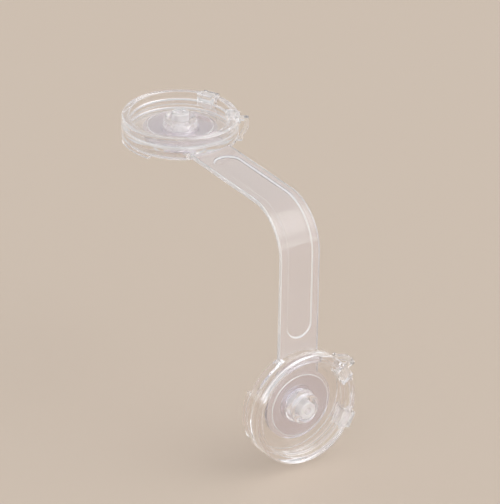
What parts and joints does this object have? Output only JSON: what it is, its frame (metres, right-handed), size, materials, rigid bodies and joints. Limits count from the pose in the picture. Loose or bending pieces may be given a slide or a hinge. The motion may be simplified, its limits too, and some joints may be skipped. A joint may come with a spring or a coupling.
{
  "type": "cabinet safety lock",
  "caption": "Clear strap lock that holds a drawer or door shut: round stick-on heads with squeeze-release levers, joined by a flexible channelled strap bent over the cabinet's edge.",
  "frame": {"origin": "centre of the upper head's adhesive face", "axes": "+Z out of the upper adhesive face and along the upper post, -Y towards the front of the cabinet, +X along the cabinet's edge towards the levers"},
  "size_m": [0.0382, 0.0953, 0.0931],
  "materials": {
    "clear_plastic": "clear moulded, polished",
    "soft_plastic": "clear flexible moulding, faint warm tint",
    "adhesive": "clear soft acrylic"
  },
  "bodies": {
    "upper_anchor": {"upper_adhesive_pad": "adhesive", "upper_anchor_plate": "clear_plastic", "upper_post": "clear_plastic"},
    "upper_head": {"upper_housing": "clear_plastic", "upper_hub": "clear_plastic", "upper_cover_ring": "clear_plastic", "strap_upper_run": "soft_plastic", "strap_bend": "soft_plastic"},
    "upper_near_lever": {"upper_near_lever": "clear_plastic"},
    "upper_far_lever": {"upper_far_lever": "clear_plastic"},
    "lower_head": {"lower_housing": "clear_plastic", "lower_hub": "clear_plastic", "lower_cover_ring": "clear_plastic", "strap_lower_run": "soft_plastic"},
    "lower_near_lever": {"lower_near_lever": "clear_plastic"},
    "lower_far_lever": {"lower_far_lever": "clear_plastic"},
    "lower_anchor": {"lower_adhesive_pad": "adhesive", "lower_anchor_plate": "clear_plastic", "lower_post": "clear_plastic"}
  },
  "joints": [
    {"name": "upper_swivel", "type": "hinge", "parent": "upper_anchor", "child": "upper_head", "pos_m": [0, 0, 0], "axis": [0, 0, 1], "continuous": true},
    {"name": "strap_flex", "type": "hinge", "parent": "upper_head", "child": "lower_head", "pos_m": [0, -0.06614, -0.00086], "axis": [1, 0, 0], "range_deg": [-90, 25], "stiffness_Nm_per_rad": 0.03, "deforming": ["strap_bend"]},
    {"name": "lower_swivel", "type": "hinge", "parent": "lower_head", "child": "lower_anchor", "pos_m": [0, -0.067, -0.0648], "axis": [0, -1, 0], "continuous": true},
    {"name": "upper_near_press", "type": "hinge", "parent": "upper_head", "child": "upper_near_lever", "pos_m": [0.01505, -0.00941, 0.0073], "axis": [-0.5299, -0.848, 0], "range_deg": [0, 9], "stiffness_Nm_per_rad": 0.02},
    {"name": "upper_far_press", "type": "hinge", "parent": "upper_head", "child": "upper_far_lever", "pos_m": [0.01595, 0.00778, 0.0073], "axis": [0.4384, -0.8988, 0], "range_deg": [0, 9], "stiffness_Nm_per_rad": 0.02},
    {"name": "lower_near_press", "type": "hinge", "parent": "lower_head", "child": "lower_near_lever", "pos_m": [0.01505, -0.0743, -0.05539], "axis": [0.5299, 0, -0.848], "range_deg": [0, 9], "stiffness_Nm_per_rad": 0.02},
    {"name": "lower_far_press", "type": "hinge", "parent": "lower_head", "child": "lower_far_lever", "pos_m": [0.01595, -0.0743, -0.07258], "axis": [-0.4384, 0, -0.8988], "range_deg": [0, 9], "stiffness_Nm_per_rad": 0.02}
  ]
}
